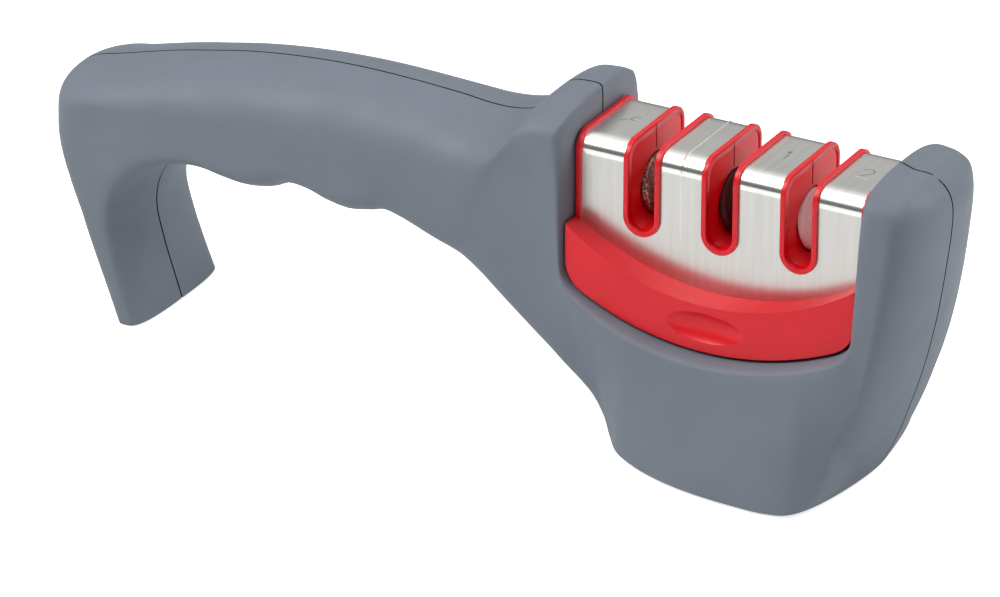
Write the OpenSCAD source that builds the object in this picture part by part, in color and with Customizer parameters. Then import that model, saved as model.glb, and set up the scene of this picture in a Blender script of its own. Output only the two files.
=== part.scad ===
// Hand-held knife sharpener: a clamshell body with a handle and a leg, and a
// lift-out sharpening head with three knife slots, each with a pair of discs.
// +X runs from the handle to the head, -Y is the front, +Z is up, and the
// origin is the bottom centre of the whole object.

/* [Body] */
// Length from the tail of the handle to the end of the head
body_length = 222; // [216:1:230]
// Height from the resting surface to the top of the horn
body_height = 79; // [77:0.5:82]
// Width of the base, front to back
body_width = 60.6; // [57:0.2:64]
// Thickness of the horn between handle and well
horn_t = 14; // [12:0.5:16]
// Thickness of the head beyond the well
head_end_t = 13.7; // [13:0.1:16]
// How far the rubber pads stand out of the body
pad_proud = 0.3; // [0.2:0.1:0.5]
// Thickness of the rubber pads
pad_t = 2; // [1.6:0.1:2.4]

/* [Slots] */
// Distance between neighbouring knife slots
slot_pitch = 19.2; // [18.8:0.1:20]
// Width of a knife slot between its liner walls
slot_w = 6.6; // [6.2:0.1:7]
// Thickness of the liner walls and their lips
liner_t = 1.1; // [0.9:0.1:1.3]
// Height of the centre of a slot's round bottom below the roof
slot_depth = 16.4; // [15:0.2:17]
// Steel land outside each outer slot
end_land = 10.7; // [10:0.1:12]

/* [Steel cover] */
// Width of the steel cover, front to back
cover_w = 25.2; // [24.6:0.2:26]
// Sheet thickness of the cover
cover_t = 0.7; // [0.5:0.1:0.9]
// Radius of the cover's rounded shoulders
shoulder_r = 3.8; // [3:0.2:4.4]
// Depth of the roof below the top of the horn
roof_drop = 7; // [6:0.5:8]
// How far the red lips and rims stand out of the steel
lip_proud = 0.7; // [0.4:0.1:1]

/* [Red insert] */
// Width of the skirt at its middle, front to back
skirt_w = 39.2; // [37:0.2:41]
// Height of the insert from its lowest edge to the steel roof
insert_h = 41.6; // [40:0.2:43]
// Height of the skirt's face at its middle
skirt_h = 11.1; // [9:0.2:12]
// Radius of the ledge that the steel stands on
ledge_r = 62; // [58:1:70]
// Radius of the insert's curved lower edge
floor_r = 75; // [70:1:85]
// Corner radius of the insert's lower edge
corner_r = 8; // [6:0.5:9]
// Gap between the insert and the well around it
well_gap = 0.6; // [0.5:0.05:0.8]

/* [Discs] */
// Diameter of a sharpening disc
disc_d = 14; // [13:0.2:15]
// Thickness of a sharpening disc
disc_t = 1.6; // [1.2:0.1:2]
// Lean of each disc from upright, in degrees
disc_lean = 11; // [9:0.5:13]
// Height of the disc centres below the roof
disc_drop = 13.4; // [12:0.2:14]
// Diameter of a disc axle
axle_d = 2; // [1.6:0.1:2.4]
// Outer diameter of an axle bush
bush_d = 5; // [4.4:0.1:5.6]
// Length of an axle bush
bush_len = 3.2; // [2.6:0.1:3.4]

/* [Hidden] */
$fn = 48;

// One overrun serves all cuts
cut = 1;
body_grey = [0.44, 0.48, 0.52];
insert_red = [0.83, 0.06, 0.13];

// Places along X: the cartridge and its well stand between the two horns
cover_half = slot_pitch + slot_w / 2 + liner_t + end_land;
well_half = cover_half + liner_t + well_gap;
cart_x = body_length / 2 - head_end_t - well_half;
horn_x = cart_x - well_half - horn_t;
handle_len = horn_x + body_length / 2;
head_len = body_length / 2 - horn_x;

// Heights
roof_z = body_height - roof_drop;
well_low_z = roof_z - insert_h - well_gap;
slot_z = roof_z - slot_depth;
axle_z = roof_z - disc_drop;
shoulder_z = roof_z - shoulder_r;
ledge_low_z = roof_z - insert_h + skirt_h;

// The well's outline: upright walls, round corners and a shallow curved floor
floor_cz = well_low_z + floor_r;
corner_x = well_half - corner_r;
corner_z = floor_cz - sqrt(pow(floor_r - corner_r, 2) - pow(corner_x, 2));
corner_end = acos(corner_x / (floor_r - corner_r));

// Part 1: the body, lofted along its own shape.
// Each station joins a point of the upper rail to a point of the lower rail.
// A share up to 1 runs along the handle and from 1 to 2 along the head.
function along(share) = share <= 1
    ? -body_length / 2 + share * handle_len
    : horn_x + (share - 1) * head_len;
function above(share) = pad_proud + share * (body_height - pad_proud);

// Leg, handle and horn: upper rail [along, above], lower rail [along, above]
handle_rail_shares = [
    [[0.136, 0], [0.213, 0]],
    [[0.115, 0.082], [0.193, 0.094]],
    [[0.086, 0.190], [0.174, 0.190]],
    [[0.056, 0.305], [0.161, 0.286]],
    [[0.028, 0.420], [0.167, 0.364]],
    [[0.006, 0.535], [0.187, 0.425]],
    [[0, 0.618], [0.218, 0.470]],
    [[0.002, 0.689], [0.254, 0.501]],
    [[0.039, 0.726], [0.285, 0.512]],
    [[0.090, 0.747], [0.319, 0.517]],
    [[0.151, 0.773], [0.357, 0.514]],
    [[0.217, 0.800], [0.398, 0.499]],
    [[0.286, 0.823], [0.433, 0.490]],
    [[0.356, 0.845], [0.474, 0.498]],
    [[0.429, 0.862], [0.515, 0.524]],
    [[0.503, 0.874], [0.560, 0.520]],
    [[0.576, 0.881], [0.601, 0.499]],
    [[0.646, 0.883], [0.642, 0.489]],
    [[0.711, 0.881], [0.683, 0.500]],
    [[0.773, 0.877], [0.715, 0.513]],
    [[0.830, 0.872], [0.748, 0.503]],
    [[0.883, 0.864], [0.781, 0.486]],
    [[0.932, 0.865], [0.809, 0.470]],
    [[0.975, 0.880], [0.833, 0.458]],
    [[1.006, 0.915], [0.854, 0.448]],
    [[1.033, 0.962], [0.873, 0.437]],
    [[1.066, 0.992], [0.890, 0.422]],
    [[1.102, 1], [0.908, 0.403]],
    [[1.134, 0.998], [0.925, 0.383]]];
// Lower rail of the stations that start on the well's left wall and corner
left_wall_shares = [[0.941, 0.362], [0.968, 0.326], [0.998, 0.287], [1.039, 0.244], [1.079, 0.205],
    [1.110, 0.174], [1.141, 0.144], [1.173, 0.113], [1.203, 0.078]];
// Lower rail under the well's floor, and the end face beside its right wall
floor_shares = [[1.226, 0.034], [1.250, 0], [1.292, 0], [1.358, 0], [1.428, 0], [1.498, 0],
    [1.569, 0], [1.639, 0], [1.704, 0], [1.760, 0], [1.802, 0]];
right_wall_shares = [[1.834, 0.014], [1.866, 0.086], [1.892, 0.164], [1.912, 0.240], [1.930, 0.310],
    [1.951, 0.411], [1.972, 0.541], [1.988, 0.681], [1.998, 0.790]];
// Top of the right horn: upper rail and lower rail
horn_end_shares = [
    [[1.872, 0.968], [2, 0.860]],
    [[1.905, 0.958], [1.993, 0.902]],
    [[1.930, 0.957], [1.979, 0.928]],
    [[1.946, 0.955], [1.966, 0.941]]];
// Places on a wall, as shares from the corner up to the horn's top
wall_shares = [0.94, 0.75, 0.52, 0.29, 0.12];
corner_steps = 3;
// Places on the floor, as shares of its half length between the corners
floor_place_shares = [-0.88, -0.75, -0.57, -0.38, -0.19, 0, 0.19, 0.38, 0.57, 0.75, 0.88];

floor_half = floor_r * corner_x / (floor_r - corner_r);
function wall_point(side, share, top) = [cart_x + side * well_half, corner_z + share * (top - corner_z)];
function corner_point(side, k) = let (a = corner_end * k / corner_steps)
    [cart_x + side * (corner_x + corner_r * cos(a)), corner_z - corner_r * sin(a)];
function floor_point(share) = let (x = share * floor_half)
    [cart_x + x, floor_cz - sqrt(pow(floor_r, 2) - pow(x, 2))];
function rail_point(p) = [along(p[0]), above(p[1])];
left_top = body_height;
right_top = above(horn_end_shares[0][0][1]);
walls = len(wall_shares);
upper_rail = concat(
    [for (r = handle_rail_shares) rail_point(r[0])],
    [for (s = wall_shares) wall_point(-1, s, left_top)],
    [for (k = [0:corner_steps]) corner_point(-1, k)],
    [for (s = floor_place_shares) floor_point(s)],
    [for (k = [corner_steps:-1:0]) corner_point(1, k)],
    [for (i = [walls - 1:-1:0]) wall_point(1, wall_shares[i], right_top)],
    [for (r = horn_end_shares) rail_point(r[0])]);
lower_rail = concat(
    [for (r = handle_rail_shares) rail_point(r[1])],
    [for (p = left_wall_shares) rail_point(p)],
    [for (p = floor_shares) rail_point(p)],
    [for (p = right_wall_shares) rail_point(p)],
    [for (r = horn_end_shares) rail_point(r[1])]);

// Half widths at the two rails, by station, as shares of the body's width
upper_width_shares = [[0, 0.307], [3, 0.298], [6, 0.278], [9, 0.282], [20, 0.282], [23, 0.316],
    [26, 0.320], [36, 0.336], [38, 0.364], [40, 0.383], [43, 0.385], [46, 0.372], [49, 0.373],
    [53, 0.353], [57, 0.315], [58, 0.298], [59, 0.262], [60, 0.230], [61, 0.212]];
lower_width_shares = [[0, 0.305], [3, 0.291], [6, 0.303], [9, 0.262], [29, 0.262], [34, 0.243],
    [38, 0.220], [39, 0.250], [40, 0.344], [41, 0.410], [42, 0.456], [43, 0.484], [44, 0.498],
    [45, 0.503], [46, 0.503], [47, 0.480], [48, 0.410], [49, 0.356], [50, 0.334], [51, 0.326],
    [52, 0.330], [54, 0.350], [57, 0.330], [58, 0.300], [59, 0.258], [60, 0.224], [61, 0.210]];
// Depth of the rounding at each rail, by station, as shares of the body's width
upper_round_shares = [[0, 0.090], [4, 0.112], [6, 0.112], [9, 0.188], [20, 0.222], [23, 0.168],
    [26, 0.130], [29, 0.122], [31, 0.134], [33, 0.184], [34, 0.184], [36, 0.069], [38, 0.061],
    [48, 0.061], [50, 0.073], [52, 0.148], [54, 0.118], [56, 0.100], [58, 0.150], [59, 0.100],
    [60, 0.048], [61, 0.020]];
lower_round_shares = [[0, 0.064], [4, 0.084], [7, 0.136], [10, 0.140], [33, 0.140], [36, 0.114],
    [38, 0.070], [40, 0.020], [47, 0.012], [48, 0.100], [49, 0.250], [50, 0.300], [52, 0.246],
    [55, 0.236], [57, 0.186], [58, 0.137], [59, 0.086], [60, 0.046], [61, 0.018]];
// How square that rounding is, by station: 2 is an ellipse
upper_square = [[0, 2], [4, 2.3], [8, 2], [22, 2.3], [28, 2], [29, 2.5], [30, 4], [31, 7], [34, 8],
    [37, 6], [49, 6], [52, 8], [56, 7], [58, 2], [61, 2]];
lower_square = [[0, 3], [8, 2.8], [37, 3], [38, 4], [40, 8], [47, 8], [48, 4], [49, 1.6],
    [50, 1.8], [58, 2.2], [61, 2]];

stations = len(upper_rail);
rows = [for (i = [0:stations - 1]) [
    upper_rail[i][0], upper_rail[i][1], lower_rail[i][0], lower_rail[i][1],
    body_width * lookup(i, upper_width_shares), body_width * lookup(i, lower_width_shares),
    body_width * lookup(i, upper_round_shares), body_width * lookup(i, lower_round_shares),
    lookup(i, upper_square), lookup(i, lower_square)]];

// A smooth curve through the rows, two steps to each row
row_steps = 2;
function row_at(i) = rows[max(0, min(stations - 1, i))];
function smooth_row(i, t) = let (a = row_at(i - 1), b = row_at(i), c = row_at(i + 1), d = row_at(i + 2))
    b + t / 2 * (c - a + t * (2 * a - 5 * b + 4 * c - d + t * (3 * (b - c) + d - a)));
fine_rows = concat(
    [for (i = [0:stations - 2], k = [0:row_steps - 1]) smooth_row(i, k / row_steps)],
    [row_at(stations - 1)]);

// Half of one section, from the parting plane at the upper rail to the lower
round_steps = 4;
face_places = [0, 0.5, 1];
round_limit = 0.48;
function section(row) = let (
        a = [row[0], row[1]], b = [row[2], row[3]], size = norm(b - a), dir = (b - a) / size,
        ra = min(row[6], size * round_limit), rb = min(row[7], size * round_limit),
        flat = size - ra - rb, na = 2 / row[8], nb = 2 / row[9],
        marks = concat(
            [for (k = [0:round_steps - 1]) let (q = 90 * k / round_steps)
                [ra * (1 - pow(cos(q), na)), pow(sin(q), na)]],
            [for (f = face_places) [ra + flat * f, 1]],
            [for (k = [round_steps - 1:-1:0]) let (q = 90 * k / round_steps)
                [size - rb * (1 - pow(cos(q), nb)), pow(sin(q), nb)]]))
    [for (m = marks) let (p = a + dir * m[0], half = row[4] + (row[5] - row[4]) * m[0] / size)
        [p[0], -half * m[1], p[1]]];

module body_half_solid() {
    sections = [for (r = fine_rows) section(r)];
    n = len(sections[0]);
    last = len(sections) - 1;
    points = [for (s = sections) each s];
    skin = [for (i = [0:last - 1], j = [0:n - 2]) each [
        [i * n + j, (i + 1) * n + j, (i + 1) * n + j + 1],
        [i * n + j, (i + 1) * n + j + 1, i * n + j + 1]]];
    parting = [for (i = [0:last - 1]) each [
        [i * n, i * n + n - 1, (i + 1) * n + n - 1],
        [i * n, (i + 1) * n + n - 1, (i + 1) * n]]];
    foot = [[for (j = [0:n - 1]) j]];
    tip = [[for (j = [n - 1:-1:0]) last * n + j]];
    polyhedron(points, concat(skin, parting, foot, tip), convexity = 10);
}

// Hollows, set in from the rails a little way past each station line
shell_wall = 3.4;
handle_set_in = 9;
handle_hollow_first = 8;
handle_hollow_last = 31;
handle_hollow_half_share = 0.2;
base_hollow_first = 40;
base_hollow_last = 47;
base_hollow_half_share = 0.32;
off_station_share = 0.3;
function between(rail, i) = rail[i] + off_station_share * (rail[i + 1] - rail[i]);
function inset(i, upper, lower) = let (a = between(upper_rail, i), b = between(lower_rail, i),
        dir = (b - a) / norm(b - a))
    [a + dir * upper, b - dir * lower];
module hollow_outline(first, last, upper, lower)
    polygon(concat(
        [for (i = [first:last]) inset(i, upper, lower)[0]],
        [for (i = [last:-1:first]) inset(i, upper, lower)[1]]));
// Draws an outline of X and Z as a solid from y0 to y1
module along_y(y0, y1) translate([0, y1, 0]) rotate([90, 0, 0]) linear_extrude(y1 - y0) children();
// Draws an outline of Y and Z as a solid from x0 to x1
module along_x(x0, x1) translate([x0, 0, 0]) rotate([90, 0, 90]) linear_extrude(x1 - x0) children();

// Clamping screws of the body, as [along, above] shares
screw_place_shares = [[0.40, 0.67], [0.73, 0.70], [0.97, 0.60], [1.36, 0.19], [1.68, 0.19]];
pilot_d = 2.2;
screw_gap = 0.2;
clear_d = 3.2;
screw_head_d = 5.2;
screw_head_t = 1.8;
head_hole_d = 5.8;
boss_d = 7.6;
screw_reach = 7;
screw_seat_y = 3;
module at_screws() for (p = screw_place_shares) translate([along(p[0]), 0, above(p[1])]) children();
// A round bar along Y, from y0 to y1
module y_bar(d, y0, y1) translate([0, y1, 0]) rotate([90, 0, 0]) cylinder(d = d, h = y1 - y0);

// The hollows of the front half, less the screw bosses
module hollows() difference() {
    union() {
        along_y(-handle_hollow_half_share * body_width, cut)
            hollow_outline(handle_hollow_first, handle_hollow_last, handle_set_in, handle_set_in);
        along_y(-base_hollow_half_share * body_width, cut)
            hollow_outline(base_hollow_first, base_hollow_last, shell_wall, shell_wall + pad_t);
    }
    at_screws() y_bar(boss_d, -body_width / 2, 2 * cut);
}

// Seats that rise from the well's floor into the insert
seat_x = slot_pitch / 2;
seat_len = 8;
seat_half_w = 8;
seat_drop = 6;
seat_z = axle_z - disc_d / 2 - seat_drop;
peg_d = 5;
peg_len = 9;
peg_y = 4.2;
peg_gap = 0.1;
module seats() for (side = [-1, 1])
    translate([cart_x + side * seat_x - seat_len / 2, -seat_half_w, well_low_z - cut])
        cube([seat_len, seat_half_w, seat_z - well_low_z + cut]);
module peg_hole(side) translate([cart_x + side * seat_x, side * peg_y, seat_z - peg_len - cut])
    cylinder(d = peg_d + 2 * peg_gap, h = peg_len + 2 * cut);

// The pads' outlines, seen from above
pad_inset = 2.4;
leg_from = along(handle_rail_shares[0][0][0]);
leg_to = along(handle_rail_shares[0][1][0]);
leg_pad_len_share = 0.59;
leg_pad_len = leg_pad_len_share * (leg_to - leg_from);
leg_pad_x = (leg_from + leg_to) / 2;
leg_pad_half_share = 0.235;
leg_pad_half_w = leg_pad_half_share * body_width;
base_pad_first = 39;
base_pad_last = 46;
module base_pad_outline(grow) {
    side = [for (i = [base_pad_first:base_pad_last]) [
        between(lower_rail, i)[0]
            + (i == base_pad_first ? pad_inset - grow : 0) + (i == base_pad_last ? grow : 0),
        body_width * lookup(i + off_station_share, lower_width_shares) - pad_inset + grow]];
    polygon(concat(side, [for (i = [len(side) - 1:-1:0]) [side[i][0], -side[i][1]]]));
}
module leg_pad_outline(grow) {
    r = leg_pad_len / 2 + grow;
    for (side = [-1, 1]) translate([leg_pad_x, side * leg_pad_half_w]) circle(r);
    translate([leg_pad_x - r, -leg_pad_half_w]) square([2 * r, 2 * leg_pad_half_w]);
}
pad_gap = 0.1;
module pad_recesses() translate([0, 0, pad_proud - cut]) linear_extrude(pad_t - pad_proud + cut) {
    base_pad_outline(pad_gap);
    leg_pad_outline(pad_gap);
}

module body_front_shell() color(body_grey) difference() {
    union() {
        difference() {
            body_half_solid();
            hollows();
        }
        seats();
    }
    at_screws() y_bar(pilot_d, -screw_reach, cut);
    pad_recesses();
    peg_hole(-1);
}

module body_rear_shell() color(body_grey) difference() {
    mirror([0, 1, 0]) union() {
        difference() {
            body_half_solid();
            hollows();
        }
        seats();
    }
    at_screws() y_bar(clear_d, -cut, screw_seat_y + cut);
    at_screws() y_bar(head_hole_d, screw_seat_y, body_width / 2);
    pad_recesses();
    peg_hole(1);
}

module body_screws() color([0.6, 0.6, 0.62]) at_screws() {
    y_bar(pilot_d, -screw_reach + screw_gap, screw_seat_y);
    y_bar(screw_head_d, screw_seat_y, screw_seat_y + screw_head_t);
}

module base_pad() color([0.12, 0.12, 0.13]) linear_extrude(pad_t) base_pad_outline(0);
module leg_pad() color([0.12, 0.12, 0.13]) linear_extrude(pad_t) leg_pad_outline(0);

// Part 2: the cartridge. Everything here is drawn about its own middle plane
module at_cartridge() translate([cart_x, 0, 0]) children();
function slot_x(i) = (i - 1) * slot_pitch;
slots = [0, 1, 2];
far = body_length;
fine = 240;

// The cross-section under the cover, grown or shrunk, from a low edge up
module cover_section(grow, low_z) {
    half = cover_w / 2 + grow;
    r = shoulder_r + grow;
    flat = half - r;
    translate([-half, low_z]) square([2 * half, shoulder_z - low_z]);
    translate([-flat, low_z]) square([2 * flat, roof_z + grow - low_z]);
    for (side = [-1, 1]) translate([side * flat, shoulder_z]) circle(r);
}

// The well as the front view shows it, with a gap all round
module well_outline(gap) {
    top_z = body_height;
    intersection() {
        translate([0, floor_cz]) circle(floor_r - gap, $fn = fine);
        translate([-floor_half, well_low_z]) square([2 * floor_half, corner_z - well_low_z + cut]);
    }
    for (side = [-1, 1]) translate([side * corner_x, corner_z]) circle(corner_r - gap);
    translate([gap - well_half, corner_z]) square([2 * (well_half - gap), top_z - corner_z]);
}
module slot_outline(r) for (i = slots) {
    translate([slot_x(i), slot_z]) circle(r);
    translate([slot_x(i) - r, slot_z]) square([2 * r, roof_z - slot_z + lip_proud + cut]);
}
module ledge_circle(grow) translate([0, ledge_low_z + ledge_r]) circle(ledge_r + grow, $fn = fine);

// Core, end rims and slot lips
cover_gap = 0.1;
core_low_z = well_low_z;
rim_low_z = corner_z;
module insert_core() {
    along_x(-cover_half, cover_half) cover_section(-cover_t - cover_gap, core_low_z);
    for (side = [-1, 1]) translate([side * (cover_half + liner_t / 2), 0, 0])
        along_x(-liner_t / 2, liner_t / 2) cover_section(lip_proud, rim_low_z);
    intersection() {
        along_y(-cover_w, cover_w) slot_outline(slot_w / 2 + liner_t);
        along_x(-cover_half, cover_half) cover_section(lip_proud, core_low_z);
    }
}

// Skirt, bowed outward along its length, with the ledge as its upper edge
skirt_bow = 1.6;
bow_r = (pow(well_half, 2) + pow(skirt_bow, 2)) / (2 * skirt_bow);
module skirt() intersection() {
    along_y(-skirt_w, skirt_w) difference() {
        well_outline(well_gap);
        ledge_circle(0);
    }
    linear_extrude(body_height) intersection_for(side = [-1, 1])
        translate([0, side * (bow_r - skirt_w / 2)]) circle(bow_r, $fn = 2 * fine);
}

// Hollow under the insert, and a pocket in each land beside the bushes
skirt_wall = 2.2;
core_wall = 1.6;
pocket_y = 6.5;
pocket_over = 3;
pocket_top_z = axle_z + pocket_over;
pocket_side = 0.6;
core_half_w = cover_w / 2 - cover_t - cover_gap;
hollow_reach = 2;
hollow_half = corner_x + hollow_reach;
land_edge = slot_w / 2 + liner_t;
// Each land between two slots, and each end land, as [from, to] along X
lands = [[-cover_half, -slot_pitch - land_edge], [land_edge - slot_pitch, -land_edge],
    [land_edge, slot_pitch - land_edge], [slot_pitch + land_edge, cover_half]];
module insert_hollows() {
    skirt_in = skirt_w / 2 - skirt_bow - skirt_wall;
    along_y(-skirt_in, skirt_in) difference() {
        translate([-hollow_half, well_low_z - cut]) square([2 * hollow_half, seat_z - well_low_z + cut]);
        ledge_circle(skirt_wall);
    }
    translate([-hollow_half, core_wall - core_half_w, well_low_z - cut])
        cube([2 * hollow_half, 2 * (core_half_w - core_wall), seat_z - well_low_z + cut]);
    for (land = lands, side = [-1, 1]) {
        pocket_w = core_half_w - core_wall - pocket_y;
        translate([land[0] + pocket_side, side * (pocket_y + pocket_w / 2) - pocket_w / 2, seat_z - cut])
            cube([land[1] - land[0] - 2 * pocket_side, pocket_w, pocket_top_z - seat_z + cut]);
    }
}

// Oval finger dimple: a spindle sunk into the skirt's face
dimple_len = 20;
dimple_h = 7;
dimple_deep = 1.2;
dimple_drop = 5.3;
module dimple() {
    round_r = (pow(dimple_h / 2, 2) + pow(dimple_deep, 2)) / (2 * dimple_deep);
    long_r = (pow(dimple_len / 2, 2) + pow(dimple_deep, 2)) / (2 * dimple_deep);
    translate([0, -skirt_w / 2 - round_r + dimple_deep, ledge_low_z - dimple_drop]) rotate([0, 90, 0])
        rotate_extrude() intersection() {
            translate([round_r - long_r, 0]) circle(long_r, $fn = fine);
            translate([0, -dimple_len]) square([round_r, 2 * dimple_len]);
        }
}

// Discs: each lies flat in its own frame, with its grinding face at x = 0,
// its axle running to -x, and is then leant back from the middle of its slot
face_gap = 0.5;
disc_off = disc_d / 2 * sin(disc_lean) + face_gap / 2;
module at_disc(i, side) translate([cart_x + slot_x(i), 0, axle_z]) mirror([side > 0 ? 1 : 0, 0, 0])
    translate([-disc_off, 0, 0]) rotate([0, -disc_lean, 0]) children();
// A round bar along the axle, from x0 to x1
module x_bar(d, x0, x1) translate([x0, 0, 0]) rotate([0, 90, 0]) cylinder(d = d, h = x1 - x0);

disc_room = 0.5;
washer_t = 0.4;
washer_d = 4.4;
end_play = 0.1;
running_gap = 0.05;
clip_t = 0.5;
clip_d = 3.6;
clip_room = 0.4;
axle_tip = 0.5;
face_sink = 0.1;
bush_x = -disc_t - washer_t - end_play;
clip_x = bush_x - bush_len - end_play;
axle_end = clip_x - clip_t - axle_tip;
module disc_rooms() for (i = slots, side = [-1, 1]) at_disc(i, side) {
    x_bar(disc_d + 2 * disc_room, bush_x, disc_room);
    x_bar(bush_d, bush_x - bush_len, 0);
    x_bar(clip_d + 2 * clip_room, axle_end - clip_room, bush_x - bush_len);
}

// Screws that clamp the two insert halves
insert_screw_x = cover_half - end_land / 2;
insert_screw_drop = 6;
insert_screw_z = roof_z - insert_screw_drop;
insert_screw_d = 2;
insert_head_d = 3.8;
insert_head_t = 1.4;
insert_screw_reach = 7;
insert_seat_in = 2.2;
insert_seat_y = core_half_w - insert_seat_in;
insert_pilot_d = 1.8;
insert_clear_d = 2.4;
insert_head_hole_d = 4.4;
module at_insert_screws() for (side = [-1, 1]) translate([side * insert_screw_x, 0, insert_screw_z]) children();

module insert_solid() difference() {
    intersection() {
        union() {
            insert_core();
            skirt();
        }
        along_y(-skirt_w, skirt_w) union() {
            well_outline(well_gap);
            translate([-cover_half, roof_z - cut]) square([2 * cover_half, lip_proud + cut]);
        }
    }
    along_y(-skirt_w, skirt_w) slot_outline(slot_w / 2);
    insert_hollows();
    dimple();
    mirror([0, 1, 0]) dimple();
}
module peg(side) translate([side * seat_x, side * peg_y, seat_z - peg_len]) cylinder(d = peg_d, h = peg_len + cut);
module half_space(side) translate([-far / 2, side > 0 ? 0 : -far, 0]) cube([far, far, body_height + far]);

module insert_front() color(insert_red) difference() {
    at_cartridge() difference() {
        union() {
            intersection() {
                insert_solid();
                half_space(-1);
            }
            peg(-1);
        }
        at_insert_screws() y_bar(insert_pilot_d, -insert_screw_reach, cut);
    }
    disc_rooms();
}
module insert_rear() color(insert_red) difference() {
    at_cartridge() difference() {
        union() {
            intersection() {
                insert_solid();
                half_space(1);
            }
            peg(1);
        }
        at_insert_screws() y_bar(insert_clear_d, -cut, insert_seat_y + cut);
        at_insert_screws() y_bar(insert_head_hole_d, insert_seat_y, cover_w);
    }
    disc_rooms();
}
module insert_screws() color([0.6, 0.6, 0.62]) at_cartridge() at_insert_screws() {
    y_bar(insert_pilot_d - 2 * running_gap, -insert_screw_reach + cover_gap, insert_seat_y);
    y_bar(insert_head_d, insert_seat_y, insert_seat_y + insert_head_t);
}

module steel_cover() color([0.80, 0.80, 0.80]) at_cartridge() difference() {
    intersection() {
        along_x(-cover_half, cover_half) difference() {
            cover_section(0, core_low_z);
            cover_section(-cover_t, core_low_z - cut);
        }
        along_y(-cover_w, cover_w) ledge_circle(0);
    }
    along_y(-cover_w, cover_w) slot_outline(slot_w / 2 + liner_t + cover_gap);
}

module disc(i, side, shade) color(shade) at_disc(i, side) difference() {
    x_bar(disc_d, -disc_t, 0);
    x_bar(axle_d, -disc_t - cut, cut);
}
module axle(i, side) color([0.7, 0.7, 0.72]) at_disc(i, side) x_bar(axle_d, axle_end, -face_sink);
module clip(i, side) color([0.25, 0.25, 0.27]) at_disc(i, side) difference() {
    x_bar(clip_d, clip_x - clip_t, clip_x);
    x_bar(axle_d, clip_x - clip_t - cut, clip_x + cut);
}
module axle_bushes() color([0.72, 0.55, 0.30]) for (i = slots, side = [-1, 1]) at_disc(i, side) difference() {
    x_bar(bush_d, bush_x - bush_len, bush_x);
    x_bar(axle_d + 2 * running_gap, bush_x - bush_len - cut, bush_x + cut);
}
module thrust_washers() color([0.9, 0.9, 0.86]) for (i = slots, side = [-1, 1]) at_disc(i, side) difference() {
    x_bar(washer_d, bush_x, bush_x + washer_t);
    x_bar(axle_d + 2 * running_gap, bush_x - cut, bush_x + washer_t + cut);
}

diamond_bronze = [0.55, 0.42, 0.33];
coarse_grey = [0.25, 0.22, 0.22];
ceramic_white = [0.93, 0.90, 0.89];

body_front_shell();
body_rear_shell();
body_screws();
base_pad();
leg_pad();
insert_front();
insert_rear();
steel_cover();
insert_screws();
axle_bushes();
thrust_washers();
disc(0, -1, diamond_bronze);  // diamond_disc_left
axle(0, -1);  // diamond_axle_left
clip(0, -1);  // diamond_clip_left
disc(0, 1, diamond_bronze);  // diamond_disc_right
axle(0, 1);  // diamond_axle_right
clip(0, 1);  // diamond_clip_right
disc(1, -1, coarse_grey);  // coarse_disc_left
axle(1, -1);  // coarse_axle_left
clip(1, -1);  // coarse_clip_left
disc(1, 1, coarse_grey);  // coarse_disc_right
axle(1, 1);  // coarse_axle_right
clip(1, 1);  // coarse_clip_right
disc(2, -1, ceramic_white);  // ceramic_disc_left
axle(2, -1);  // ceramic_axle_left
clip(2, -1);  // ceramic_clip_left
disc(2, 1, ceramic_white);  // ceramic_disc_right
axle(2, 1);  // ceramic_axle_right
clip(2, 1);  // ceramic_clip_right
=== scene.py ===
"""A hand-held knife sharpener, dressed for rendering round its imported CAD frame.

Lengths are in millimetres while a shape is worked out and become metres when
its mesh is made. +X runs from the handle to the head, -Y is the front.
"""
import math

import bpy
import bmesh
import numpy as np
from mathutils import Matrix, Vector


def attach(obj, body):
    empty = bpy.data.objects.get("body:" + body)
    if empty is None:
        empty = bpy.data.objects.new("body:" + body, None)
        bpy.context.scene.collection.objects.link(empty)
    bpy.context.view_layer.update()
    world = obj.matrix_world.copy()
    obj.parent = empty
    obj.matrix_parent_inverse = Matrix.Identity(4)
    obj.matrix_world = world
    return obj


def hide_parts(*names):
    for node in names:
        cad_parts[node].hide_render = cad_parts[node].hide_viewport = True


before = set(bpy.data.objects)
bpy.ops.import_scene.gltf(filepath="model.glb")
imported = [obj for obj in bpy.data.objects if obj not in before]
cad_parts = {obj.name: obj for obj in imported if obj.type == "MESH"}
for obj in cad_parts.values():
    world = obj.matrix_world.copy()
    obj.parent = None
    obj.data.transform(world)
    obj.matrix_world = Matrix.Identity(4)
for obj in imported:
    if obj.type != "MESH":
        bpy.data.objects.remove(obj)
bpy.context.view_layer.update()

MM = 0.001

# Sizes shared with the CAD source
BODY_LENGTH, BODY_HEIGHT, BODY_WIDTH = 222, 79, 60.6
HORN_T, HEAD_END_T, PAD_PROUD = 14, 13.7, 0.3
SLOT_PITCH, SLOT_W, LINER_T, SLOT_DEPTH, END_LAND = 19.2, 6.6, 1.1, 16.4, 10.7
COVER_W, COVER_T, SHOULDER_R, ROOF_DROP, LIP_PROUD = 25.2, 0.7, 3.8, 7, 0.7
INSERT_H, SKIRT_H, LEDGE_R, FLOOR_R, CORNER_R, WELL_GAP = 41.6, 11.1, 62, 75, 8, 0.6
DISC_D, DISC_T, DISC_LEAN, DISC_DROP, AXLE_D = 14, 1.6, 11, 13.4, 2

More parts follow.
